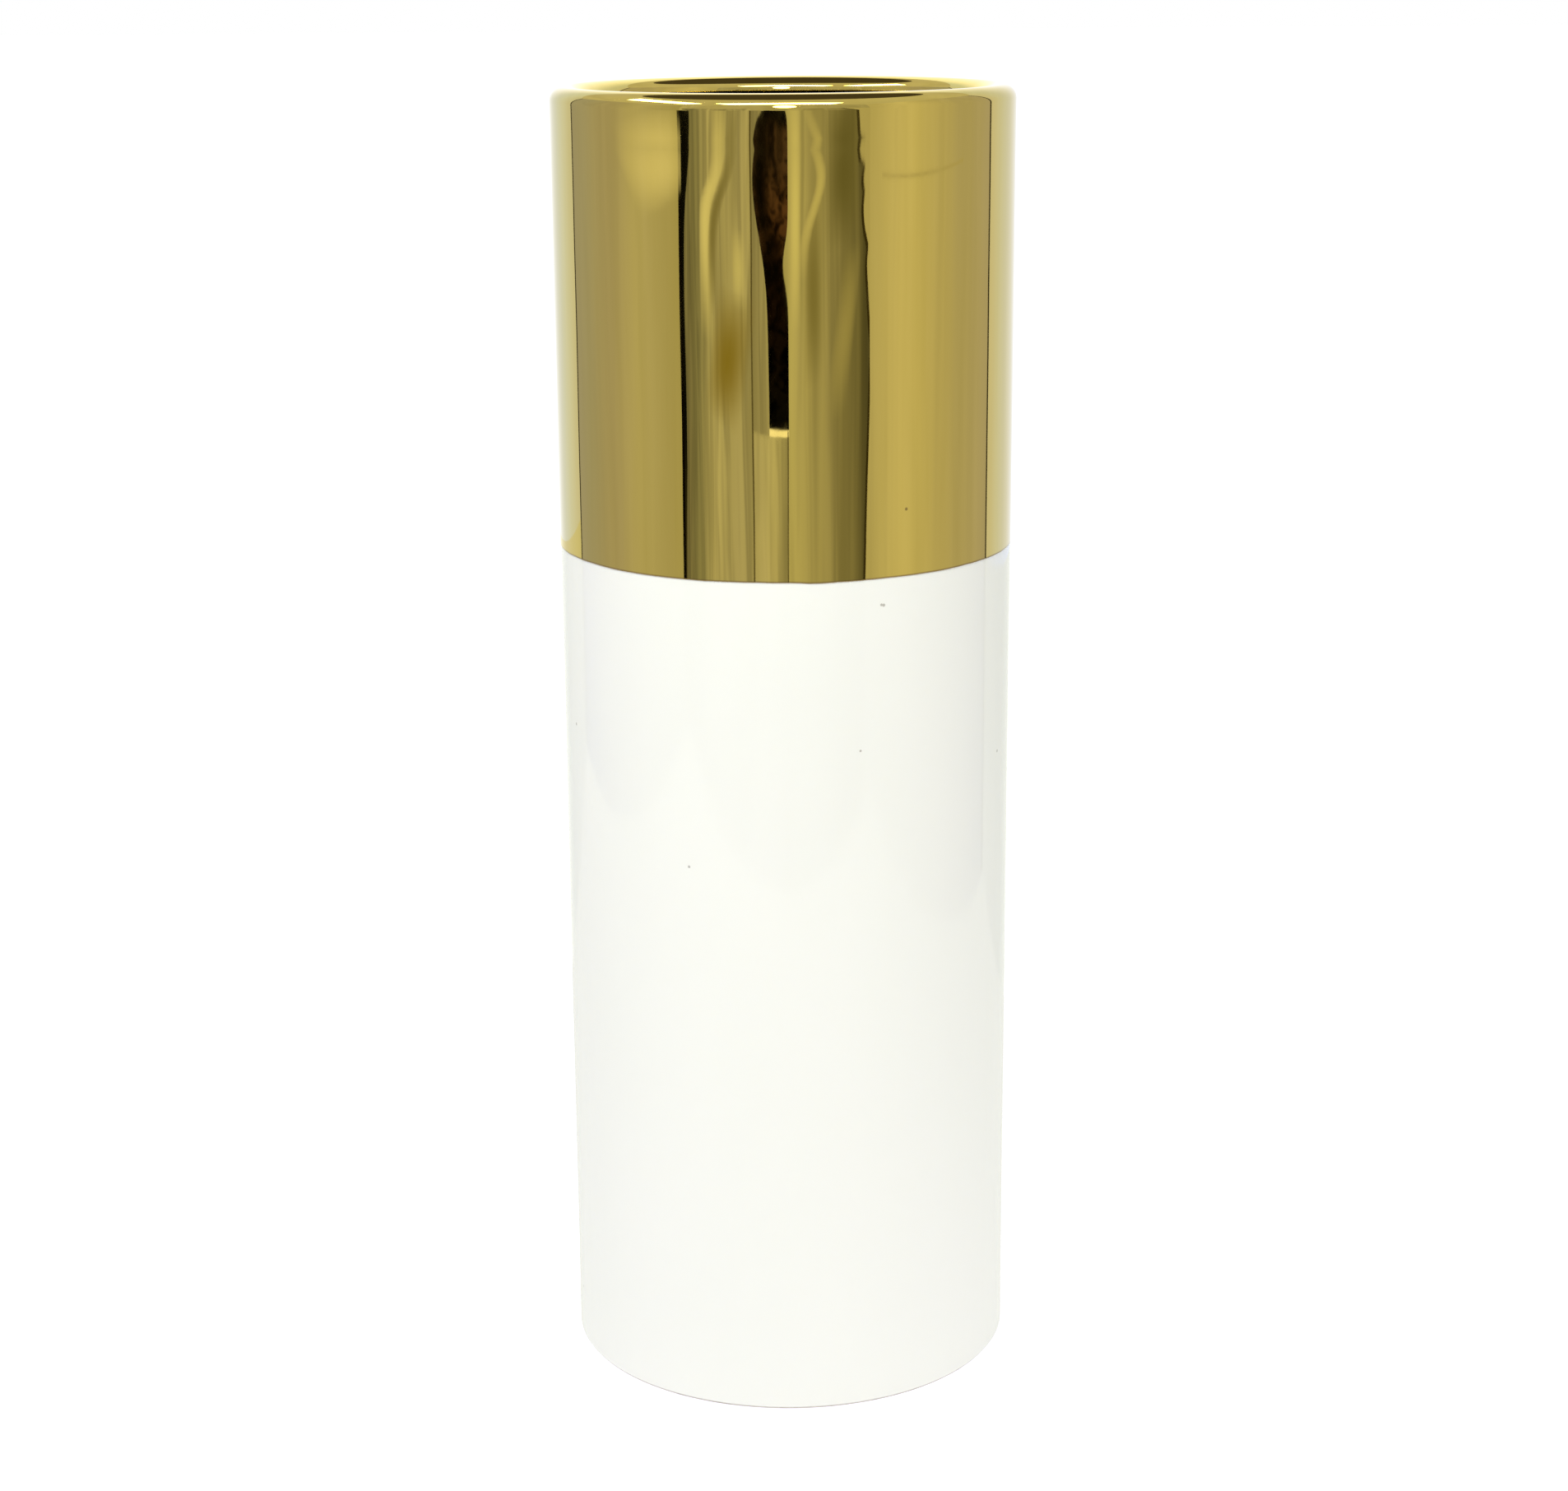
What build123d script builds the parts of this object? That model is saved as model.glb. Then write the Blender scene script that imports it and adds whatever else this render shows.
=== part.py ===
from build123d import *
import os

# A straight-sided porcelain vase: one slip-cast porcelain body, its fired glaze coats, and a gold lustre film
# over the top third and a little way down inside the mouth. Millimetres. The vase's axis is Z, and its foot
# stands on z = 0. Every profile is a half section in the XZ plane, revolved about Z.

# Overall sizes, taken over the lustre film, which is the outermost layer
height = 254.0
outside_diameter = 88.9

# Thickness of each layer
wall_thickness = 4.6  # fired porcelain, without its coats
floor_thickness = 6.0  # porcelain between the inside floor and the recess in the underside
glaze_thickness = 0.35
lustre_thickness = 0.12  # the real film is thinner than a micron

# How far each coat reaches
lustre_drop = 87.5  # from the crest of the rim to the band's lower edge, outside
lustre_depth_inside = 25.0  # from the crest of the rim to the gilding's lower edge, inside
dry_foot_height = 0.4  # bare porcelain between the surface the vase stands on and the glaze

# Foot and corners
foot_ring_width = 5.5
recess_depth = 2.5
recess_corner_radius = 1.0
foot_edge_radius = 0.3
inside_floor_radius = 7.0

# Radii of the layers, from the outside in
lustre_radius = outside_diameter / 2
glaze_radius = lustre_radius - lustre_thickness
body_radius = glaze_radius - glaze_thickness
bore_radius = body_radius - wall_thickness
glazed_bore_radius = bore_radius - glaze_thickness
recess_radius = body_radius - foot_ring_width
glazed_recess_radius = recess_radius - glaze_thickness

# The rim is a full round on the porcelain wall, and every coat goes round the same centre
rim_radius = wall_thickness / 2
rim_x = body_radius - rim_radius
rim_z = height - lustre_thickness - glaze_thickness - rim_radius
rim_centre = (rim_x, rim_z)

# Levels inside and underneath
floor_z = recess_depth + floor_thickness
glazed_floor_z = floor_z + glaze_thickness
glazed_recess_z = recess_depth - glaze_thickness

os.makedirs("parts", exist_ok=True)

# Porcelain body: a cylinder wall with a closed floor and a rounded rim, standing on a ring round a shallow recess
with BuildPart() as porcelain_body:
    with BuildSketch(Plane.XZ):
        with BuildLine():
            FilletPolyline(
                (0, recess_depth),
                (recess_radius, recess_depth),
                (recess_radius, 0),
                (body_radius, 0),
                (body_radius, rim_z),
                radius=[recess_corner_radius, foot_edge_radius, foot_edge_radius],
            )
            CenterArc(rim_centre, rim_radius, 0, 180)
            FilletPolyline((bore_radius, rim_z), (bore_radius, floor_z), (0, floor_z), radius=inside_floor_radius)
            Line((0, floor_z), (0, recess_depth))
        make_face()
    revolve(axis=Axis.Z)
porcelain_body.part.label = "porcelain_body"
export_step(porcelain_body.part, "parts/porcelain_body.step")

# Exterior glaze: from the crest of the rim down the outside, melted to a rounded edge above the dry foot
with BuildPart() as exterior_glaze:
    with BuildSketch(Plane.XZ):
        with BuildLine():
            Line((body_radius, dry_foot_height), (body_radius, rim_z))
            CenterArc(rim_centre, rim_radius, 0, 90)
            Line((rim_x, rim_z + rim_radius), (rim_x, rim_z + rim_radius + glaze_thickness))
            CenterArc(rim_centre, rim_radius + glaze_thickness, 0, 90)
            Line((glaze_radius, rim_z), (glaze_radius, dry_foot_height + glaze_thickness))
            CenterArc((body_radius, dry_foot_height + glaze_thickness), glaze_thickness, -90, 90)
        make_face()
    revolve(axis=Axis.Z)
exterior_glaze.part.label = "exterior_glaze"
export_step(exterior_glaze.part, "parts/exterior_glaze.step")

# Interior glaze: the liner coat, from the crest of the rim down the bore and over the inside floor
with BuildPart() as interior_glaze:
    with BuildSketch(Plane.XZ):
        with BuildLine():
            FilletPolyline((bore_radius, rim_z), (bore_radius, floor_z), (0, floor_z), radius=inside_floor_radius)
            Line((0, floor_z), (0, glazed_floor_z))
            FilletPolyline(
                (0, glazed_floor_z),
                (glazed_bore_radius, glazed_floor_z),
                (glazed_bore_radius, rim_z),
                radius=inside_floor_radius - glaze_thickness,
            )
            CenterArc(rim_centre, rim_radius + glaze_thickness, 90, 90)
            Line((rim_x, rim_z + rim_radius + glaze_thickness), (rim_x, rim_z + rim_radius))
            CenterArc(rim_centre, rim_radius, 90, 90)
        make_face()
    revolve(axis=Axis.Z)
interior_glaze.part.label = "interior_glaze"
export_step(interior_glaze.part, "parts/interior_glaze.step")

# Base glaze: the coat in the recess under the foot, a patch of its own because the ring round it is wiped dry
with BuildPart() as base_glaze:
    with BuildSketch(Plane.XZ):
        with BuildLine():
            FilletPolyline(
                (0, recess_depth),
                (recess_radius, recess_depth),
                (recess_radius, dry_foot_height),
                radius=recess_corner_radius,
            )
            Line((recess_radius, dry_foot_height), (glazed_recess_radius, dry_foot_height))
            FilletPolyline(
                (glazed_recess_radius, dry_foot_height),
                (glazed_recess_radius, glazed_recess_z),
                (0, glazed_recess_z),
                radius=recess_corner_radius - glaze_thickness,
            )
            Line((0, glazed_recess_z), (0, recess_depth))
        make_face()
    revolve(axis=Axis.Z)
base_glaze.part.label = "base_glaze"
export_step(base_glaze.part, "parts/base_glaze.step")

# Gold lustre: one painted film over both glazes, up the outside, round the rim and down to its edge in the bore
with BuildPart() as gold_lustre:
    lustre_inside_radius = glazed_bore_radius - lustre_thickness
    band_z = height - lustre_drop
    inside_edge_z = height - lustre_depth_inside
    with BuildSketch(Plane.XZ):
        with BuildLine():
            Line((glaze_radius, rim_z), (glaze_radius, band_z))
            Line((glaze_radius, band_z), (lustre_radius, band_z))
            Line((lustre_radius, band_z), (lustre_radius, rim_z))
            CenterArc(rim_centre, rim_radius + glaze_thickness + lustre_thickness, 0, 180)
            Line((lustre_inside_radius, rim_z), (lustre_inside_radius, inside_edge_z))
            Line((lustre_inside_radius, inside_edge_z), (glazed_bore_radius, inside_edge_z))
            Line((glazed_bore_radius, inside_edge_z), (glazed_bore_radius, rim_z))
            CenterArc(rim_centre, rim_radius + glaze_thickness, 0, 180)
        make_face()
    revolve(axis=Axis.Z)
gold_lustre.part.label = "gold_lustre"
export_step(gold_lustre.part, "parts/gold_lustre.step")
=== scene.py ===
import math

import bpy
from mathutils import Matrix, Vector, noise


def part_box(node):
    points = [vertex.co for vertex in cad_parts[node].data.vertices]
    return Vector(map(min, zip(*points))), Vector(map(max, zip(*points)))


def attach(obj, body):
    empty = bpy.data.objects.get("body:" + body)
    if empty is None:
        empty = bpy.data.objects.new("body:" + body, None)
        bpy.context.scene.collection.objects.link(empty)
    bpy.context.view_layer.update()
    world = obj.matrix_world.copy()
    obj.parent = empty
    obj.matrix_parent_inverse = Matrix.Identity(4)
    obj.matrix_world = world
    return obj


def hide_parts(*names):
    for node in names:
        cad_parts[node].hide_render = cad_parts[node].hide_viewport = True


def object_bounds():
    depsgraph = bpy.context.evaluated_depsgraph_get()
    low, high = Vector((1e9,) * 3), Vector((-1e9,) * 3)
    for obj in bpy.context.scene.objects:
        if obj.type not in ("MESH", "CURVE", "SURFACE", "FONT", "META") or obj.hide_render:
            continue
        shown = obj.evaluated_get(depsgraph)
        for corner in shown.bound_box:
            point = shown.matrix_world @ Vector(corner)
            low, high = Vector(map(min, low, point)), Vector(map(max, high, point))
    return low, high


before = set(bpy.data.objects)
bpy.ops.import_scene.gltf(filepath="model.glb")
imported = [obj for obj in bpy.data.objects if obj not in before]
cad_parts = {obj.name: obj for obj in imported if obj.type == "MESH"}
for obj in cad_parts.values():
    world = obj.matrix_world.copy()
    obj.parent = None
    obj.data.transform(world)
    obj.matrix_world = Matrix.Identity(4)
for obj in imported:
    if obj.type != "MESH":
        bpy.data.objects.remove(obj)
cad_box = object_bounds()

MM = 0.001

# ---------------------------------------------------------------------------------------------------------
# Sizes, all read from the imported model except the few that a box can't show
# ---------------------------------------------------------------------------------------------------------
LUSTRE_LOW, LUSTRE_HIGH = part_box("gold_lustre")
GLAZE_LOW, GLAZE_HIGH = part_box("exterior_glaze")
BODY_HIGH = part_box("porcelain_body")[1]
LINER_LOW, LINER_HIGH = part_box("interior_glaze")
BASE_LOW, BASE_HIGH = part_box("base_glaze")

LUSTRE_RADIUS = LUSTRE_HIGH.x
GLAZE_RADIUS = GLAZE_HIGH.x
BODY_RADIUS = BODY_HIGH.x
FILM = LUSTRE_RADIUS - GLAZE_RADIUS
GLAZE = GLAZE_RADIUS - BODY_RADIUS
RIM_X = LINER_HIGH.x
RIM_RADIUS = BODY_RADIUS - RIM_X
RIM_Z = LUSTRE_HIGH.z - (LUSTRE_RADIUS - RIM_X)
BORE_RADIUS = RIM_X - RIM_RADIUS
FLOOR_Z = LINER_LOW.z
BAND_Z = LUSTRE_LOW.z
RECESS_RADIUS = BASE_HIGH.x
RECESS_Z = BASE_HIGH.z
DRY_FOOT_Z = GLAZE_LOW.z

INSIDE_FLOOR_RADIUS = 7 * MM
RECESS_CORNER_RADIUS = 1 * MM
FOOT_EDGE_RADIUS = 0.3 * MM
LUSTRE_DEPTH_INSIDE = 25 * MM
WAVE_DEPTH = 0.10 * MM

# Iron specks in the outside glaze: degrees to the right of the front, height and radius in millimetres
SPECKS = (
    (24, 161.4, 0.4),
    (23.4, 161.5, 0.35),
    (-68, 133, 0.4),
    (18, 134, 0.3),
    (68, 127, 0.4),
    (-25, 111, 0.35),
    (-76, 11, 0.4),
)

# How finely the meshes are cut: points round the vase, turn per step of an arc, and the length of a row.
# Hidden walls take long rows, and the flat discs start from a ring round the axis.
SEGMENTS = 320
ARC_STEP = math.radians(7.5)
ROW = 4 * MM
LONG_ROW = 10 * MM
INNER_RING = 10 * MM
BRUSHED_BAND = 4 * MM  # height over which the gold's mesh follows its wandering lower edge
ON_AXIS = 1e-9
ON_WALL = 1e-6


# ---------------------------------------------------------------------------------------------------------
# Outlines: lists of (radius, height) points, turned about Z into closed meshes
# ---------------------------------------------------------------------------------------------------------
def straight(start, end, row=ROW):
    """Points from start towards end, the end left out. They lie close together near both ends, which keeps
    the shading true."""
    length = math.dist(start, end)
    count = max(1, round(length / row))
    guard = min(0.15 * MM, length / 8)
    steps = [0, guard / length, 3 * guard / length]
    steps += [i / count for i in range(1, count) if 4 * guard < i * length / count < length - 4 * guard]
    steps += [1 - 3 * guard / length, 1 - guard / length]
    return [(start[0] + t * (end[0] - start[0]), start[1] + t * (end[1] - start[1])) for t in steps]


def arc(centre, radius, start_deg, end_deg):
    """Points along an arc from start_deg towards end_deg, the end left out."""
    sweep = math.radians(end_deg - start_deg)
    count = max(4, math.ceil(abs(sweep) / ARC_STEP))
    points = []
    for i in range(count):
        angle = math.radians(start_deg) + sweep * i / count
        points.append((centre[0] + radius * math.cos(angle), centre[1] + radius * math.sin(angle)))
    return points


def lathe(name, outline):
    """A closed mesh of the outline turned about Z. Points on the axis become one vertex each."""
    vertices, rings = [], []
    for radius, height in outline:
        first = len(vertices)
        if radius < ON_AXIS:
            vertices.append((0, 0, height))
            rings.append([first] * SEGMENTS)
            continue
        for i in range(SEGMENTS):
            angle = 2 * math.pi * i / SEGMENTS
            vertices.append((radius * math.cos(angle), radius * math.sin(angle), height))
        rings.append(list(range(first, first + SEGMENTS)))
    faces = []
    for k, ring in enumerate(rings):
        above = rings[(k + 1) % len(rings)]
        if ring[0] == ring[1] and above[0] == above[1]:
            continue
        for i in range(SEGMENTS):
            j = (i + 1) % SEGMENTS
            corners = [ring[i], ring[j], above[j], above[i]]
            faces.append(list(dict.fromkeys(corners)))
    mesh = bpy.data.meshes.new(name)
    mesh.from_pydata(vertices, [], faces)
    mesh.validate()
    mesh.polygons.foreach_set("use_smooth", [True] * len(mesh.polygons))
    piece = bpy.data.objects.new(name, mesh)
    bpy.context.scene.collection.objects.link(piece)
    return piece


def finish_piece(piece, node, material):
    """Gives a piece its material, hides the CAD node that it stands for, and hangs the piece under the root
    body.
    """
    piece.data.materials.append(material)
    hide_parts(node)
    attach(piece, "root")


# ---------------------------------------------------------------------------------------------------------
# Material helpers
# ---------------------------------------------------------------------------------------------------------
def new_material(name):
    """A material with its nodes, its links and its Principled shader."""
    material = bpy.data.materials.new(name)
    material.use_nodes = True
    nodes = material.node_tree.nodes
    return material, nodes, material.node_tree.links, nodes["Principled BSDF"]


def scaled_coordinates(nodes, links, scale):
    """Object coordinates in metres, stretched by scale."""
    coordinates = nodes.new("ShaderNodeTexCoord")
    mapping = nodes.new("ShaderNodeMapping")
    mapping.inputs["Scale"].default_value = scale
    links.new(coordinates.outputs["Object"], mapping.inputs["Vector"])
    return mapping.outputs["Vector"]


def noise_field(nodes, links, scale, detail=2.0, roughness=0.5, distortion=0.0):
    field = nodes.new("ShaderNodeTexNoise")
    field.inputs["Scale"].default_value = 1.0
    field.inputs["Detail"].default_value = detail
    field.inputs["Roughness"].default_value = roughness
    field.inputs["Distortion"].default_value = distortion
    links.new(scaled_coordinates(nodes, links, scale), field.inputs["Vector"])
    return field.outputs["Fac"]


def between(nodes, links, value, low, high, out_low, out_high):
    """Maps value from low..high to out_low..out_high, smoothly, and holds it beyond."""
    ramp = nodes.new("ShaderNodeMapRange")
    ramp.interpolation_type = "SMOOTHSTEP"
    ramp.inputs["From Min"].default_value = low
    ramp.inputs["From Max"].default_value = high
    ramp.inputs["To Min"].default_value = out_low
    ramp.inputs["To Max"].default_value = out_high
    links.new(value, ramp.inputs["Value"])
    return ramp.outputs["Result"]


def mix_colours(nodes, links, factor, first, second):
    """Mixes two colours, or sockets that hold them, by factor."""
    mix = nodes.new("ShaderNodeMix")
    mix.data_type = "RGBA"
    links.new(factor, mix.inputs["Factor"])
    for key, colour in (("A", first), ("B", second)):
        if isinstance(colour, tuple):
            mix.inputs[key].default_value = (*colour, 1)
        else:
            links.new(colour, mix.inputs[key])
    return mix.outputs["Result"]


def bump(nodes, links, height, distance, strength=1.0, under=None):
    node = nodes.new("ShaderNodeBump")
    node.inputs["Distance"].default_value = distance
    node.inputs["Strength"].default_value = strength
    links.new(height, node.inputs["Height"])
    if under is not None:
        links.new(under, node.inputs["Normal"])
    return node.outputs["Normal"]


def speck(nodes, links, azimuth, height, radius):
    """1 in a speck on the outside wall, 0 away from it. It takes degrees to the right of the front, then
    millimetres."""
    angle = math.radians(azimuth)
    coordinates = nodes.new("ShaderNodeTexCoord")
    distance = nodes.new("ShaderNodeVectorMath")
    distance.operation = "DISTANCE"
    across, out = GLAZE_RADIUS * math.sin(angle), -GLAZE_RADIUS * math.cos(angle)
    distance.inputs[1].default_value = (across, out, height * MM)
    links.new(coordinates.outputs["Object"], distance.inputs[0])
    return between(nodes, links, distance.outputs["Value"], 0.5 * radius * MM, radius * MM, 1.0, 0.0)


# ---------------------------------------------------------------------------------------------------------
# Materials
# ---------------------------------------------------------------------------------------------------------
def gold_material():
    """Fired liquid gold: a mirror, uneven where the brush laid it, and brown along its brushed lower edge,
    partly as the film grows thinner there and partly as painted shade of that edge.
    """
    material, nodes, links, shader = new_material("gold_lustre_film")
    shader.inputs["Metallic"].default_value = 1.0
    brushing = noise_field(nodes, links, (190, 190, 9), 4, 0.6)
    gold = mix_colours(nodes, links, brushing, (0.75, 0.575, 0.12), (0.90, 0.695, 0.195))
    gold = mix_colours(nodes, links, speck(nodes, links, 30, 179, 0.4), gold, (0.38, 0.28, 0.09))
    # Partly painted shade: within 0.4 mm of the film's lower edge the gold turns dark brown, for the thinner
    # film and for the shade along that edge.
    edge = nodes.new("ShaderNodeAttribute")
    edge.attribute_name = "edge_distance"
    thin_edge_shade = between(nodes, links, edge.outputs["Fac"], 0.05, 0.4, 1.0, 0.0)
    links.new(mix_colours(nodes, links, thin_edge_shade, gold, (0.33, 0.23, 0.10)), shader.inputs["Base Color"])
    cloud = noise_field(nodes, links, (260, 260, 60), 4, 0.6)
    links.new(between(nodes, links, cloud, 0.3, 0.75, 0.014, 0.045), shader.inputs["Roughness"])
    peel = noise_field(nodes, links, (450, 450, 450), 1)
    links.new(bump(nodes, links, peel, 0.0008 * MM), shader.inputs["Normal"])
    return material


def glaze_material(name):
    """Clear glaze on white porcelain: glossy, slightly warm, faintly clouded where it lies thicker."""
    material, nodes, links, shader = new_material(name)
    shader.inputs["IOR"].default_value = 1.52
    shader.inputs["Subsurface Weight"].default_value = 0.12
    shader.inputs["Subsurface Radius"].default_value = (1.0, 0.85, 0.6)
    shader.inputs["Subsurface Scale"].default_value = 1.5 * MM
    cloud = noise_field(nodes, links, (35, 35, 18), 3)
    colour = mix_colours(nodes, links, cloud, (0.885, 0.90, 0.815), (0.915, 0.92, 0.845))
    for azimuth, height, radius in SPECKS:
        spot = speck(nodes, links, azimuth, height, radius)
        colour = mix_colours(nodes, links, spot, colour, (0.50, 0.48, 0.42))
    links.new(colour, shader.inputs["Base Color"])
    gloss = noise_field(nodes, links, (180, 180, 90), 3)
    links.new(between(nodes, links, gloss, 0.3, 0.7, 0.03, 0.07), shader.inputs["Roughness"])
    return material


def bare_porcelain_material():
    """Unglazed porcelain: matt, greyish cream, with a fine grain that holds a little grime."""
    material, nodes, links, shader = new_material("bare_porcelain")
    grain = noise_field(nodes, links, (2500, 2500, 2500), 4, 0.6)
    wear = noise_field(nodes, links, (300, 300, 300), 3)
    clean = mix_colours(nodes, links, grain, (0.52, 0.48, 0.40), (0.66, 0.62, 0.54))
    grime = between(nodes, links, wear, 0.5, 0.75, 0.0, 0.6)
    links.new(mix_colours(nodes, links, grime, clean, (0.30, 0.26, 0.20)), shader.inputs["Base Color"])
    links.new(between(nodes, links, wear, 0.3, 0.7, 0.55, 0.8), shader.inputs["Roughness"])
    links.new(bump(nodes, links, grain, 0.02 * MM), shader.inputs["Normal"])
    return material


# ---------------------------------------------------------------------------------------------------------
# The vase
# ---------------------------------------------------------------------------------------------------------
def sink(angle, z):
    """How far the outer surface sinks below a true cylinder, in slow waves that fade out at both ends."""
    around = Vector((math.cos(angle), math.sin(angle), 0)) * 1.9
    slow = noise.noise(around + Vector((0, 0, z / (55 * MM))))
    quick = noise.noise(around * 2.3 + Vector((7, 0, z / (24 * MM))))
    fine = noise.noise(around * 2.6 + Vector((3, 9, z / (20 * MM))))
    fade = min(1, max(0, (RIM_Z - z) / (6 * MM))) * min(1, max(0, (z - 6 * MM) / (12 * MM)))
    return fade * WAVE_DEPTH * (0.5 + 0.30 * slow + 0.12 * quick + 0.08 * fine)


def brush_edge(angle):
    """How far the painted lower edge of the gold strays from a true circle, down being minus."""
    azimuth = math.degrees(math.atan2(math.cos(angle), -math.sin(angle)))
    wander = 0.10 * noise.noise(Vector((3 * math.cos(angle), 3 * math.sin(angle), 2)))
    wander += 0.05 * noise.noise(Vector((13 * math.cos(angle), 13 * math.sin(angle), 5)))
    lap = 0.22 * step(azimuth, 4, 0.8) - 0.10 * step(azimuth, 11.7, 0.4)
    lap -= 0.08 * step(azimuth, 18.7, 0.3) + 0.04 * step(azimuth, 22.5, 0.3)
    return (wander - lap) * MM


def shape_outside(piece, radius, moves_edge=False):
    """Sinks the points that lie on the outer cylinder, and lets the gold's lowest rows follow the brush."""
    for vertex in piece.data.vertices:
        co = vertex.co
        reach = math.hypot(co.x, co.y)
        if abs(reach - radius) > ON_WALL and abs(reach - radius + FILM) > ON_WALL:
            continue
        angle = math.atan2(co.y, co.x)
        scale = (reach - sink(angle, co.z)) / reach
        near = max(0, 1 - (co.z - BAND_Z) / BRUSHED_BAND) if moves_edge else 0
        co.x, co.y, co.z = co.x * scale, co.y * scale, co.z + near * brush_edge(angle)
    piece.data.update()


def make_body(material):
    corner = (BORE_RADIUS - INSIDE_FLOOR_RADIUS, FLOOR_Z + INSIDE_FLOOR_RADIUS)
    recess_corner = (RECESS_RADIUS - RECESS_CORNER_RADIUS, RECESS_Z - RECESS_CORNER_RADIUS)
    foot_inner = RECESS_RADIUS + FOOT_EDGE_RADIUS
    foot_outer = BODY_RADIUS - FOOT_EDGE_RADIUS
    outline = [(0, RECESS_Z)]
    outline += straight((INNER_RING, RECESS_Z), (recess_corner[0], RECESS_Z))
    outline += arc(recess_corner, RECESS_CORNER_RADIUS, 90, 0)
    outline += straight((RECESS_RADIUS, recess_corner[1]), (RECESS_RADIUS, FOOT_EDGE_RADIUS))
    outline += arc((foot_inner, FOOT_EDGE_RADIUS), FOOT_EDGE_RADIUS, 180, 270)
    outline += straight((foot_inner, 0), (foot_outer, 0), 1 * MM)
    outline += arc((foot_outer, FOOT_EDGE_RADIUS), FOOT_EDGE_RADIUS, -90, 0)
    outline += straight((BODY_RADIUS, FOOT_EDGE_RADIUS), (BODY_RADIUS, RIM_Z), LONG_ROW)
    outline += arc((RIM_X, RIM_Z), RIM_RADIUS, 0, 180)
    outline += straight((BORE_RADIUS, RIM_Z), (BORE_RADIUS, corner[1]), LONG_ROW)
    outline += arc(corner, INSIDE_FLOOR_RADIUS, 0, -90)
    outline += straight((corner[0], FLOOR_Z), (INNER_RING, FLOOR_Z))
    outline += [(INNER_RING, FLOOR_Z), (0, FLOOR_Z)]
    finish_piece(lathe("porcelain_shell", outline), "porcelain_body", material)


def make_exterior_glaze(material):
    edge_centre = (BODY_RADIUS, DRY_FOOT_Z + GLAZE)
    outline = straight((BODY_RADIUS, RIM_Z), (BODY_RADIUS, DRY_FOOT_Z), LONG_ROW)
    outline += arc(edge_centre, GLAZE, -90, 0)
    outline += straight((GLAZE_RADIUS, edge_centre[1]), (GLAZE_RADIUS, RIM_Z), 2 * MM)
    outline += arc((RIM_X, RIM_Z), RIM_RADIUS + GLAZE, 0, 90)
    outline += [(RIM_X, RIM_Z + RIM_RADIUS + GLAZE)]
    outline += arc((RIM_X, RIM_Z), RIM_RADIUS, 90, 0)
    piece = lathe("outside_glaze_coat", outline)
    shape_outside(piece, GLAZE_RADIUS)
    finish_piece(piece, "exterior_glaze", material)


def make_interior_glaze(material):
    glazed_radius = BORE_RADIUS - GLAZE
    corner = (BORE_RADIUS - INSIDE_FLOOR_RADIUS, FLOOR_Z + INSIDE_FLOOR_RADIUS)
    outline = [(0, FLOOR_Z)]
    outline += straight((INNER_RING, FLOOR_Z), (corner[0], FLOOR_Z))
    outline += arc(corner, INSIDE_FLOOR_RADIUS, -90, 0)
    outline += straight((BORE_RADIUS, corner[1]), (BORE_RADIUS, RIM_Z), LONG_ROW)
    outline += arc((RIM_X, RIM_Z), RIM_RADIUS, 180, 90)
    outline += [(RIM_X, RIM_Z + RIM_RADIUS)]
    outline += arc((RIM_X, RIM_Z), RIM_RADIUS + GLAZE, 90, 180)
    outline += straight((glazed_radius, RIM_Z), (glazed_radius, corner[1]))
    outline += arc(corner, INSIDE_FLOOR_RADIUS - GLAZE, 0, -90)
    outline += straight((corner[0], FLOOR_Z + GLAZE), (INNER_RING, FLOOR_Z + GLAZE))
    outline += [(INNER_RING, FLOOR_Z + GLAZE), (0, FLOOR_Z + GLAZE)]
    finish_piece(lathe("inside_glaze_coat", outline), "interior_glaze", material)


def make_base_glaze(material):
    corner = (RECESS_RADIUS - RECESS_CORNER_RADIUS, RECESS_Z - RECESS_CORNER_RADIUS)
    outline = [(0, RECESS_Z - GLAZE)]
    outline += straight((INNER_RING, RECESS_Z - GLAZE), (corner[0], RECESS_Z - GLAZE))
    outline += arc(corner, RECESS_CORNER_RADIUS - GLAZE, 90, 0)
    outline += straight((RECESS_RADIUS - GLAZE, corner[1]), (RECESS_RADIUS - GLAZE, DRY_FOOT_Z))
    outline += straight((RECESS_RADIUS - GLAZE, DRY_FOOT_Z), (RECESS_RADIUS, DRY_FOOT_Z))
    outline += straight((RECESS_RADIUS, DRY_FOOT_Z), (RECESS_RADIUS, corner[1]))
    outline += arc(corner, RECESS_CORNER_RADIUS, 0, 90)
    outline += straight((corner[0], RECESS_Z), (INNER_RING, RECESS_Z))
    outline += [(INNER_RING, RECESS_Z), (0, RECESS_Z)]
    finish_piece(lathe("base_glaze_coat", outline), "base_glaze", material)


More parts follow.
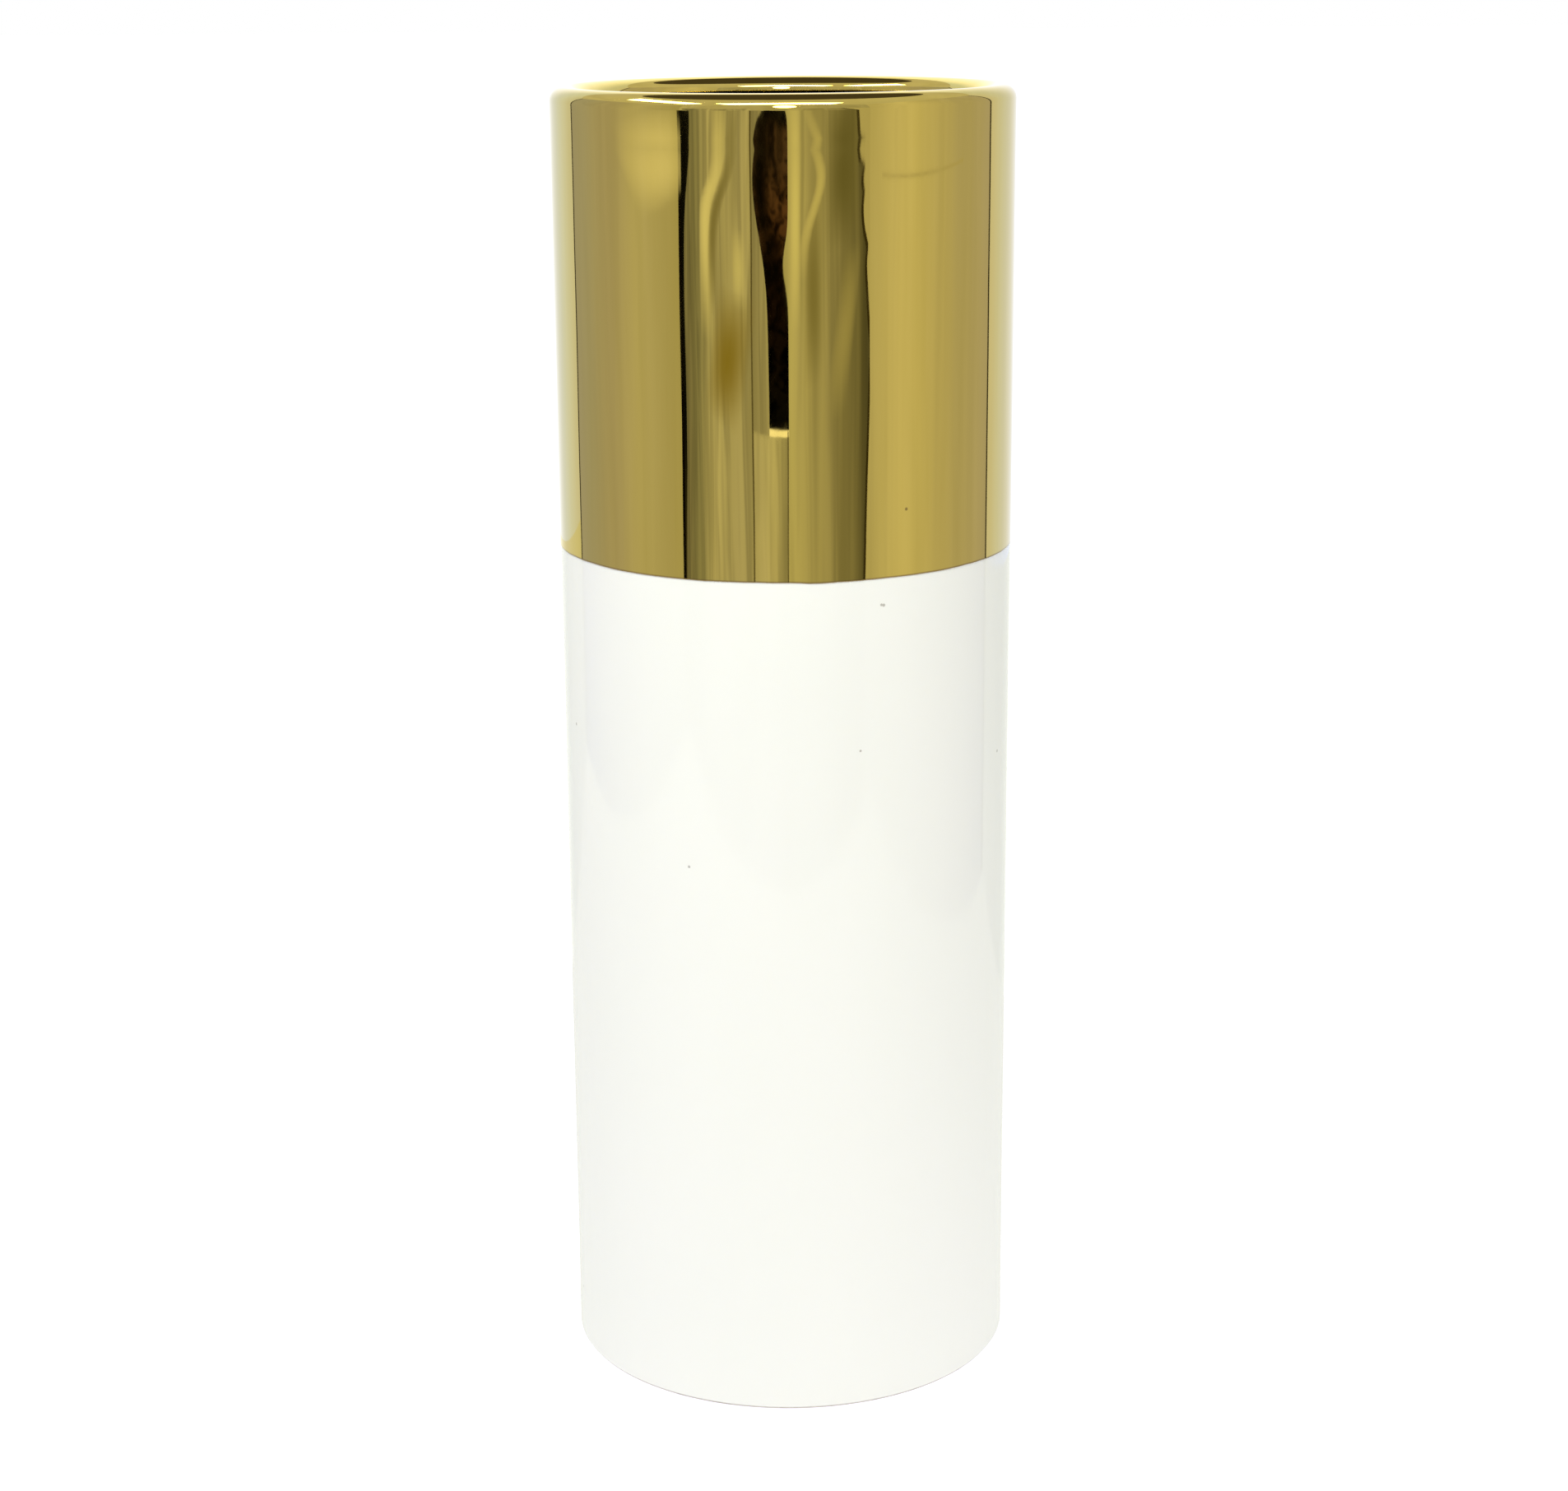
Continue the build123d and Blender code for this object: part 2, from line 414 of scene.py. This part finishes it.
def make_gold(material):
    """The film over the lip. Inside it ends at a plain circle, outside at the edge that the brush left."""
    outer = RIM_RADIUS + GLAZE + FILM
    inner = RIM_RADIUS + GLAZE
    inside_z = LUSTRE_HIGH.z - LUSTRE_DEPTH_INSIDE
    outline = straight((GLAZE_RADIUS, RIM_Z), (GLAZE_RADIUS, BAND_Z), 2 * MM)
    outline += [(GLAZE_RADIUS, BAND_Z)]
    outline += straight((LUSTRE_RADIUS, BAND_Z), (LUSTRE_RADIUS, RIM_Z), 1 * MM)
    outline += arc((RIM_X, RIM_Z), outer, 0, 180)
    outline += straight((RIM_X - outer, RIM_Z), (RIM_X - outer, inside_z), 1 * MM)
    outline += [(RIM_X - outer, inside_z)]
    outline += straight((RIM_X - inner, inside_z), (RIM_X - inner, RIM_Z), LONG_ROW)
    outline += arc((RIM_X, RIM_Z), inner, 180, 0)
    piece = lathe("gold_lustre_band", outline)
    distances = []
    for vertex in piece.data.vertices:
        outside = math.hypot(vertex.co.x, vertex.co.y) > RIM_X
        distances.append((vertex.co.z - (BAND_Z if outside else inside_z)) / MM)
    attribute = piece.data.attributes.new("edge_distance", "FLOAT", "POINT")
    attribute.data.foreach_set("value", distances)
    shape_outside(piece, LUSTRE_RADIUS, moves_edge=True)
    finish_piece(piece, "gold_lustre", material)


# ---------------------------------------------------------------------------------------------------------
# Studio: a pale floor inside a light tent of white fabric. The tent is hidden from the camera, and is there
# for its light and for its reflection in the gold: side walls, a back wall, a front curtain with a slit, a
# ceiling with a round opening, lamps, and a ground that reflects a little darker than the floor looks.
# Metres, with the vase's axis at x = y = 0 and the camera on the side of negative y.
# ---------------------------------------------------------------------------------------------------------
TENT_LEFT, TENT_RIGHT, TENT_FRONT, TENT_TOP = -0.435, 0.322, -0.38, 0.47
BACK_LEFT, BACK_RIGHT = 0.268, 0.155  # where the back wall meets the left and the right wall, in y
CURTAIN_TOP = 0.30
SLIT_LOW, SLIT_HIGH = 0.143, 0.239
HEM_X = -0.098  # the left curtain's edge, where the hem beside the slit starts
GAP_X, GAP_TOP = -0.34, 0.226  # the black gap in the front left corner
WHITE = (1.0, 1.0, 1.0)
CREAM = (1, 0.98, 0.9)
NEUTRAL = (1, 1.03, 0.95)


def glow_material(name, axis, low, high, stops, fold=0.0, fold_scale=(1, 1, 1)):
    """Lit fabric, as a glow of painted light: a colour that runs along one axis from low to high, with soft
    folds painted in as shade and light that darken and lighten it.
    """
    material = bpy.data.materials.new(name)
    material.use_nodes = True
    nodes, links = material.node_tree.nodes, material.node_tree.links
    nodes.clear()
    output = nodes.new("ShaderNodeOutputMaterial")
    glow = nodes.new("ShaderNodeEmission")
    links.new(glow.outputs["Emission"], output.inputs["Surface"])
    separate = nodes.new("ShaderNodeSeparateXYZ")
    links.new(scaled_coordinates(nodes, links, (1, 1, 1)), separate.inputs["Vector"])
    along = nodes.new("ShaderNodeMapRange")
    along.inputs["From Min"].default_value = low
    along.inputs["From Max"].default_value = high
    links.new(separate.outputs[axis], along.inputs["Value"])
    ramp = nodes.new("ShaderNodeValToRGB")
    ramp.color_ramp.interpolation = "EASE"
    elements = ramp.color_ramp.elements
    while len(elements) < len(stops):
        elements.new(0.5)
    for element, (place, level, tint) in zip(elements, stops):
        element.position = place
        element.color = (level * tint[0], level * tint[1], level * tint[2], 1)
    links.new(along.outputs["Result"], ramp.inputs["Fac"])
    links.new(ramp.outputs["Color"], glow.inputs["Color"])
    # Painted fold shade and light: noise lowers and raises the glow's strength.
    if fold:
        folds = noise_field(nodes, links, fold_scale, 2, 0.55, 0.8)
        links.new(between(nodes, links, folds, 0.32, 0.68, 1 - fold, 1 + fold), glow.inputs["Strength"])
    material.cycles.emission_sampling = "NONE"
    return material


def plain_glow(name, colour):
    """A glow of one colour all over."""
    return glow_material(name, "Z", 0, 1, ((0, 1, colour), (1, 1, colour)))


def sheet(name, corners, faces, material):
    """Fabric of the tent. Cameras look through it, while reflections and soft light don't."""
    mesh = bpy.data.meshes.new(name)
    mesh.from_pydata(corners, [], faces)
    mesh.materials.append(material)
    fabric = bpy.data.objects.new(name, mesh)
    bpy.context.scene.collection.objects.link(fabric)
    fabric.visible_camera = False
    fabric.visible_shadow = False
    return fabric


def panel(name, corners, material):
    """A flat sheet with one face."""
    sheet(name, corners, [tuple(range(len(corners)))], material)


def strip(name, place, left, right, low, high, material, rows=120):
    """An upright strip between two edges, each a function of height. place(u, z) makes a point of a spot."""
    corners, faces = [], []
    for i in range(rows + 1):
        z = low + (high - low) * i / rows
        corners += [place(left(z), z), place(right(z), z)]
        if i:
            faces.append((2 * i - 2, 2 * i - 1, 2 * i + 1, 2 * i))
    sheet(name, corners, faces, material)


def at(u):
    """An upright edge: the same place at every height."""
    return lambda z: u


def swell(z, centre, width):
    """A smooth rise to 1 at the centre and back to 0."""
    return math.exp(-(((z - centre) / width) ** 2))


def step(z, centre, width):
    """A smooth step from 0 to 1 at the centre."""
    return 1 / (1 + math.exp(-(z - centre) / width))


def veil(name, place, centre, half_width, low, high, colour):
    """A soft fold, painted as light or shade by its colour: an upright strip round a centre line, which fades
    out towards its sides and its ends.
    """
    columns, rows = 8, 32
    corners, faces, cover = [], [], []
    for i in range(rows + 1):
        z = low + (high - low) * i / rows
        for j in range(columns + 1):
            side = 2 * j / columns - 1
            corners.append(place(centre(z) + side * half_width, z))
            cover.append((1 - side * side) * math.sin(math.pi * i / rows))
            if i and j:
                k = len(corners) - 1
                faces.append((k - columns - 2, k - columns - 1, k, k - 1))
    fabric = sheet(name, corners, faces, veil_material(name, colour))
    fabric.data.attributes.new("cover", "FLOAT", "POINT").data.foreach_set("value", cover)


def veil_material(name, colour):
    """A glow that covers what lies behind it as far as the mesh's own cover attribute says."""
    material = bpy.data.materials.new(name)
    material.use_nodes = True
    nodes, links = material.node_tree.nodes, material.node_tree.links
    nodes.clear()
    output = nodes.new("ShaderNodeOutputMaterial")
    blend = nodes.new("ShaderNodeMixShader")
    clear = nodes.new("ShaderNodeBsdfTransparent")
    glow = nodes.new("ShaderNodeEmission")
    glow.inputs["Color"].default_value = (*colour, 1)
    cover = nodes.new("ShaderNodeAttribute")
    cover.attribute_name = "cover"
    links.new(cover.outputs["Fac"], blend.inputs["Fac"])
    links.new(clear.outputs["BSDF"], blend.inputs[1])
    links.new(glow.outputs["Emission"], blend.inputs[2])
    links.new(blend.outputs["Shader"], output.inputs["Surface"])
    material.cycles.emission_sampling = "NONE"
    return material


def on_front(depth):
    """Places strips on the tent's front, depth metres inside it."""
    return lambda u, z: (u, TENT_FRONT + depth, z)


def slit_left(z):
    return -0.048 - 0.046 * swell(z, 0.214, 0.022) + 0.018 * swell(z, 0.2315, 0.004)


def slit_right(z):
    return 0.012 - 0.016 * swell(z, 0.191, 0.008) - 0.055 * swell(z, 0.2385, 0.006)


def curtain_right(z):
    """The right curtain's edge: a shallow bow, with a few kinks near the top."""
    widest = 0.152
    bow = 0.317 - (0.42 * (widest - z) if z < widest else 0.9 * (z - widest))
    kinks = (0.024, 0.2120, 0.0024), (0.014, 0.2050, 0.003), (0.014, 0.1870, 0.004)
    for size, centre, width in kinks:
        bow += size * swell(z, centre, width)
    return bow


def corner_gap(z):
    """The right side of the black gap in the front left corner. It opens wide near the rim."""
    return -0.413 + 0.05 * swell(z, 0.222, 0.024) - 0.3 * max(0, 0.10 - z)


def make_front():
    """The front: two curtains with the slit between them, its hem, the corner gaps and the bar above."""
    left_fabric = glow_material(
        "curtain_left",
        "X",
        -0.40,
        -0.09,
        (
            (0.0, 0.20, WHITE),
            (0.22, 0.24, (1, 1.03, 1.0)),
            (0.5, 0.46, WHITE),
            (0.75, 0.38, WHITE),
            (1.0, 0.42, WHITE),
        ),
        0.22,
        (34, 1, 9),
    )
    right_fabric = glow_material(
        "curtain_right",
        "X",
        0.01,
        0.31,
        (
            (0.0, 0.50, (1, 1, 0.9)),
            (0.3, 0.38, (1, 0.99, 0.9)),
            (0.62, 0.27, (1, 0.98, 0.85)),
            (1.0, 0.10, (1, 0.98, 0.8)),
        ),
        0.16,
        (26, 1, 5),
    )
    stops = ((0, 0.26, WHITE), (1, 0.42, WHITE))
    hem_fabric = glow_material("curtain_hem", "X", -0.1, -0.04, stops, 0.15, (60, 1, 9))
    stops = ((0, 0.44, WHITE), (0.6, 0.52, WHITE), (1, 0.34, WHITE))
    below_fabric = glow_material("curtain_below", "X", -0.1, 0.01, stops, 0.15, (30, 1, 12))
    stops = ((0, 0.50, WHITE), (1, 0.42, WHITE))
    valance_fabric = glow_material("valance", "X", -0.45, 0.35, stops, 0.08, (12, 1, 4))
    black = glow_material("tent_black", "Z", 0.05, 0.12, ((0, 0.05, (1, 0.9, 0.6)), (1, 0.004, WHITE)))
    brown = plain_glow("tent_brown", (0.035, 0.028, 0.010))
    dim = plain_glow("tent_line", (0.12, 0.11, 0.08))
    inside_slit = glow_material(
        "slit_dark",
        "Z",
        0.14,
        0.24,
        (
            (0, 0.002, WHITE),
            (0.5, 0.006, (1, 0.5, 0.4)),
            (0.65, 0.055, (1, 0.5, 0.35)),
            (0.82, 0.04, (1, 0.6, 0.5)),
            (0.9, 0.004, WHITE),
        ),
        0.9,
        (35, 1, 260),
    )
    right_hem = glow_material("right_hem", "X", 0.25, 0.33, ((0, 0.52, CREAM), (1, 0.50, CREAM)))
    strip("tent_slit_dark", on_front(0.000), at(-0.11), at(0.03), SLIT_LOW, 0.245, inside_slit)
    strip("tent_hem", on_front(0.001), at(HEM_X), slit_left, SLIT_LOW - 0.003, SLIT_HIGH, hem_fabric)
    strip("tent_hem_line", on_front(0.003), at(-0.102), at(-0.097), 0.05, SLIT_HIGH, dim)
    # Painted shadow along the slit's left side, in near black.
    slit_shadow_black = (0.004, 0.003, 0.002)
    veil("slit_shadow", on_front(0.0005), lambda z: slit_left(z) + 0.022, 0.034, 0.178, 0.25, slit_shadow_black)
    strip("tent_curtain_below", on_front(0.001), at(-0.1), at(0.012), 0, SLIT_LOW - 0.002, below_fabric)
    strip("tent_overlap_line", on_front(0.003), at(0.0075), at(0.0105), 0, SLIT_LOW, dim)
    strip("tent_curtain_left", on_front(0.002), corner_gap, at(HEM_X), 0, CURTAIN_TOP, left_fabric)
    strip("tent_curtain_right", on_front(0.002), slit_right, curtain_right, 0, CURTAIN_TOP, right_fabric)
    strip("tent_corner_black", on_front(0.000), at(TENT_LEFT), at(GAP_X), 0, GAP_TOP, black)
    gap_right = lambda z: curtain_right(z) + 0.013
    strip("tent_right_gap", on_front(0.001), curtain_right, gap_right, 0, CURTAIN_TOP, brown)
    strip("tent_right_hem", on_front(0.000), curtain_right, at(TENT_RIGHT), 0, CURTAIN_TOP, right_hem)
    top_bar = [(TENT_LEFT, CURTAIN_TOP), (TENT_RIGHT, CURTAIN_TOP)]
    top_bar += [(TENT_RIGHT, TENT_TOP), (TENT_LEFT, TENT_TOP)]
    panel("tent_valance", [on_front(0)(u, z) for u, z in top_bar], valance_fabric)
    spot = []
    for i in range(24):
        angle = i * math.pi / 12
        spot.append(on_front(0.002)(0.005 + 0.035 * math.cos(angle), 0.375 + 0.05 * math.sin(angle)))
    lamp_glow = plain_glow("round_lamp", (14.0, 13.4, 11.5))
    sheet("tent_spot", spot, [tuple(range(24))], lamp_glow).visible_diffuse = False
    over_slit = [(-0.11, SLIT_HIGH), (0.03, SLIT_HIGH), (0.03, CURTAIN_TOP), (-0.11, CURTAIN_TOP)]
    panel("tent_over_slit", [on_front(0.0005)(u, z) for u, z in over_slit], valance_fabric)
    over_gap = [(TENT_LEFT, GAP_TOP), (GAP_X, GAP_TOP), (GAP_X, CURTAIN_TOP), (TENT_LEFT, CURTAIN_TOP)]
    panel("tent_over_gap", [on_front(0.0005)(u, z) for u, z in over_gap], valance_fabric)
    make_folds()


def make_folds():
    """The folds that stand out, painted as soft highlights and shades: on the left curtain they bend like an
    S, and on the right one they bow.
    """
    bend = lambda z: -0.278 + 0.068 * step(z, 0.2075, 0.0035)
    bend_dark = lambda z: -0.247 + 0.095 * step(z, 0.209, 0.006)
    lean_left = lambda z: -0.185 + 1.5 * (z - 0.158)
    bow = lambda z: 0.055 + 0.058 * swell(z, 0.2155, 0.013)
    lean_right = lambda z: 0.20 + 1.5 * (z - 0.168)
    # Pale veils are painted highlights of the folds and dark veils are painted shade.
    # name, depth inside the front, centre line, half width, lowest and highest point, colour
    folds = (
        ("fold_s", 0.005, bend, 0.034, 0.158, 0.238, (0.76, 0.76, 0.70)),
        ("fold_s_shade", 0.006, bend_dark, 0.022, 0.168, 0.232, (0.24, 0.23, 0.17)),
        ("fold_amber_shade", 0.007, lean_left, 0.075, 0.136, 0.182, (0.26, 0.215, 0.06)),
        ("fold_pale_highlight", 0.005, at(-0.142), 0.026, 0.176, 0.200, (0.62, 0.62, 0.56)),
        ("fold_slit_highlight", 0.005, at(0.034), 0.017, 0.172, 0.240, (0.72, 0.72, 0.62)),
        ("fold_bow_highlight", 0.006, bow, 0.018, 0.186, 0.234, (0.60, 0.59, 0.50)),
        ("fold_shade", 0.005, at(0.195), 0.07, 0.192, 0.236, (0.15, 0.145, 0.09)),
        ("fold_groove_shade", 0.005, at(0.087), 0.030, 0.155, 0.210, (0.24, 0.23, 0.16)),
        ("fold_light", 0.005, lean_right, 0.045, 0.140, 0.192, (0.37, 0.36, 0.29)),
    )
    for name, depth, centre, half_width, low, high, colour in folds:
        veil(name, on_front(depth), centre, half_width, low, high, colour)


def make_sides():
    """The side walls and the back wall. The back is three sheets: what the gold and the glaze reflect above,
    a neutral part of it below, and the part that only lights the vase."""
    left_fabric = glow_material(
        "wall_left",
        "Y",
        TENT_FRONT,
        BACK_LEFT,
        (
            (0.0, 0.44, (1, 0.98, 0.87)),
            (0.36, 0.52, (1, 0.99, 1.0)),
            (0.59, 0.44, (1, 0.98, 1.16)),
            (0.85, 0.40, (1, 1.04, 1.4)),
            (1.0, 0.40, (1, 1.04, 1.4)),
        ),
        0.04,
        (1, 9, 3),
    )
    right_fabric = glow_material(
        "wall_right",
        "Y",
        TENT_FRONT,
        BACK_RIGHT,
        (
            (0.0, 0.52, CREAM),
            (0.36, 0.64, (1, 0.97, 0.86)),
            (0.57, 0.54, (1, 0.97, 0.9)),
            (0.72, 0.49, (1, 0.98, 1.05)),
            (1.0, 0.46, (1, 0.98, 1.2)),
        ),
        0.05,
        (1, 10, 3),
    )
    back_fabric = glow_material(
        "wall_back",
        "X",
        TENT_LEFT,
        TENT_RIGHT,
        (
            (0.0, 0.69, (1, 1.08, 1.4)),
            (0.3, 0.75, (1, 1.15, 1.55)),
            (0.55, 1.3, (1, 1.04, 1.15)),
            (0.85, 0.71, (1, 1.11, 1.45)),
            (1.0, 0.70, (1, 1.04, 1.3)),
        ),
    )
    low_fabric = glow_material(
        "wall_back_low",
        "X",
        TENT_LEFT,
        TENT_RIGHT,
        (
            (0.0, 0.69, NEUTRAL),
            (0.3, 0.75, NEUTRAL),
            (0.55, 1.3, NEUTRAL),
            (0.85, 0.71, NEUTRAL),
            (1.0, 0.70, NEUTRAL),
        ),
    )
    black = plain_glow("wall_black", (0.004, 0.003, 0.002))
    seam = plain_glow("wall_seam", (0.05, 0.045, 0.04))
    crease = plain_glow("wall_crease_shade", (0.48, 0.46, 0.41))

    def on_left(depth):
        return lambda u, z: (TENT_LEFT + depth, u, z)

    def on_right(depth):
        return lambda u, z: (TENT_RIGHT - depth, u, z)

    strip("tent_left", on_left(0), at(TENT_FRONT), at(BACK_LEFT), 0, TENT_TOP, left_fabric)
    strip("tent_right", on_right(0), at(TENT_FRONT), at(BACK_RIGHT), 0, TENT_TOP, right_fabric)
    strip("tent_left_gap", on_left(0.001), at(TENT_FRONT), at(-0.362), 0, 0.222, black)
    strip("tent_left_seam", on_left(0.001), at(BACK_LEFT - 0.012), at(BACK_LEFT), 0, TENT_TOP, seam)
    strip("tent_right_seam", on_right(0.001), at(BACK_RIGHT - 0.010), at(BACK_RIGHT), 0, TENT_TOP, seam)
    # Painted light: a soft, lighter patch on the left wall.
    lean = lambda z: -0.25 + 5 * (z - 0.211)
    veil("tent_left_light_patch", on_left(0.002), lean, 0.17, 0.196, 0.225, (0.74, 0.73, 0.70))
    # Painted shade: a thin darker line along a crease in the right wall.
    line = [(-0.31, 0.2112), (0.01, 0.2224), (0.01, 0.2234), (-0.31, 0.2122)]
    panel("tent_right_crease_shade", [on_right(0.001)(u, z) for u, z in line], crease)
    back = [(TENT_LEFT, BACK_LEFT, 0), (TENT_RIGHT, BACK_RIGHT, 0)]
    back += [(TENT_RIGHT, BACK_RIGHT, TENT_TOP), (TENT_LEFT, BACK_LEFT, TENT_TOP)]
    sheet("tent_back", back, [(0, 1, 2, 3)], back_fabric).visible_diffuse = False
    middle = (0, BACK_RIGHT + (BACK_LEFT - BACK_RIGHT) * TENT_RIGHT / (TENT_RIGHT - TENT_LEFT))
    low = [(TENT_LEFT, BACK_LEFT, 0), (TENT_RIGHT, BACK_RIGHT, 0), (TENT_RIGHT, BACK_RIGHT, 0.100)]
    low += [(*middle, 0.137), (TENT_LEFT, BACK_LEFT, 0.084)]
    low = [(x, y - 1 * MM, z) for x, y, z in low]
    sheet("tent_back_low", low, [(0, 1, 2, 3, 4)], low_fabric).visible_diffuse = False
    light = plain_glow("back_light", (1.06, 1.10, 0.95))
    sheet("tent_back_light", back, [(0, 1, 2, 3)], light).visible_glossy = False


def make_ceiling():
    """The ceiling with its opening, the ground sheet and the lamps."""
    stops = ((0, 0.55, WHITE), (1, 0.60, WHITE))
    cloth = glow_material("ceiling", "Y", TENT_FRONT, BACK_LEFT, stops, 0.05, (8, 8, 1))
    hole = plain_glow("ceiling_opening", (0.07, 0.06, 0.05))
    corners = [(TENT_LEFT, TENT_FRONT), (TENT_RIGHT, TENT_FRONT)]
    corners += [(TENT_RIGHT, BACK_RIGHT), (TENT_LEFT, BACK_LEFT)]
    panel("tent_ceiling", [(x, y, TENT_TOP) for x, y in corners], cloth)
    opening = []
    for i in range(48):
        angle = 2 * math.pi * i / 48
        opening.append((0.16 * math.cos(angle), 0.03 + 0.14 * math.sin(angle), TENT_TOP - 0.001))
    sheet("tent_opening", opening, [tuple(range(48))], hole).visible_diffuse = False
    ground = [(x, y, 0.5 * MM) for x, y in corners]
    ground_glow = plain_glow("ground", (0.92, 0.93, 0.86))
    sheet("tent_ground", ground, [(0, 1, 2, 3)], ground_glow).visible_diffuse = False
    lamp_strip("lamps_front", (-0.01, -0.275), 0.30, 0.09, 1.42)
    lamp_strip("lamps_left", (-0.235, -0.11), 0.07, 0.24, 0.6)
    soft_light("fill_inside", (0, 0, TENT_TOP - 0.01), 0.08, 0.08, 0.25)
    fill_right = soft_light("fill_right", (0.30, -0.15, 0.13), 0.26, 0.26, 0.09)
    fill_right.rotation_euler = (0, math.radians(90), 0)


def soft_light(name, place, width, depth, power):
    """An area light that faces down. It lights the vase softly and never shows in a reflection."""
    data = bpy.data.lights.new(name, "AREA")
    data.shape = "RECTANGLE"
    data.size, data.size_y = width, depth
    data.energy = power
    data.color = (1.0, 0.99, 0.95)
    lamp = bpy.data.objects.new(name, data)
    lamp.location = place
    lamp.visible_camera = False
    lamp.visible_glossy = False
    bpy.context.scene.collection.objects.link(lamp)
    return lamp


def lamp_strip(name, place, width, depth, power):
    """A row of lamps under the ceiling: a soft light, and a bright sheet for the reflections."""
    x, y = place
    z = TENT_TOP - 0.01
    soft_light(name, (x, y, z), width, depth, power)
    w, d = width / 2, depth / 2
    corners = [(x - w, y - d, z), (x + w, y - d, z), (x + w, y + d, z), (x - w, y + d, z)]
    diffuser = plain_glow(name + "_diffuser", (12.0, 11.6, 10.4))
    sheet(name + "_diffuser", corners, [(0, 1, 2, 3)], diffuser).visible_diffuse = False


def make_floor():
    """A pale floor, bright enough to meet the white backdrop, with only a soft shade under the vase."""
    size = 12
    mesh = bpy.data.meshes.new("floor")
    corners = [(-size, -size, 0), (size, -size, 0), (size, size, 0), (-size, size, 0)]
    mesh.from_pydata(corners, [], [(0, 1, 2, 3)])
    material, _, _, shader = new_material("pale_floor")
    shader.inputs["Base Color"].default_value = (0.35, 0.35, 0.35, 1)
    shader.inputs["Roughness"].default_value = 0.9
    shader.inputs["Specular IOR Level"].default_value = 0.0
    shader.inputs["Emission Color"].default_value = (1.0, 0.98, 1.10, 1)
    shader.inputs["Emission Strength"].default_value = 0.85
    material.cycles.emission_sampling = "NONE"
    mesh.materials.append(material)
    floor = bpy.data.objects.new("floor", mesh)
    bpy.context.scene.collection.objects.link(floor)


def make_backdrop():
    """Plain white all round."""
    world = bpy.data.worlds.new("backdrop")
    world.use_nodes = True
    background = world.node_tree.nodes["Background"]
    background.inputs["Color"].default_value = (1, 1, 1, 1)
    background.inputs["Strength"].default_value = 1.0
    bpy.context.scene.world = world


def make_camera():
    """Set back two and a quarter heights, a little above the rim, looking down at the middle of the vase."""
    height = cad_box[1].z
    pitch, roll = math.radians(14.90), math.radians(-0.39)
    data = bpy.data.cameras.new("camera")
    data.lens = 67.6
    data.sensor_width = 36
    data.clip_start = 0.01
    camera = bpy.data.objects.new("camera", data)
    right = Vector((1, 0, 0))
    ahead = Vector((0, math.cos(pitch), -math.sin(pitch)))
    up = right.cross(ahead)
    axis_x = right * math.cos(roll) + up * math.sin(roll)
    axis_y = up * math.cos(roll) - right * math.sin(roll)
    turn = Matrix((axis_x, axis_y, -ahead)).transposed()
    place = Vector((-0.6 * MM, -2.255 * height, 1.088 * height))
    camera.matrix_world = Matrix.Translation(place) @ turn.to_4x4()
    bpy.context.scene.collection.objects.link(camera)
    bpy.context.scene.camera = camera


make_body(bare_porcelain_material())
make_exterior_glaze(glaze_material("outside_glaze"))
make_interior_glaze(glaze_material("inside_glaze"))
make_base_glaze(glaze_material("base_glaze"))
make_gold(gold_material())
make_front()
make_sides()
make_ceiling()
make_floor()
make_backdrop()
make_camera()
bpy.context.scene.view_settings.view_transform = "Standard"
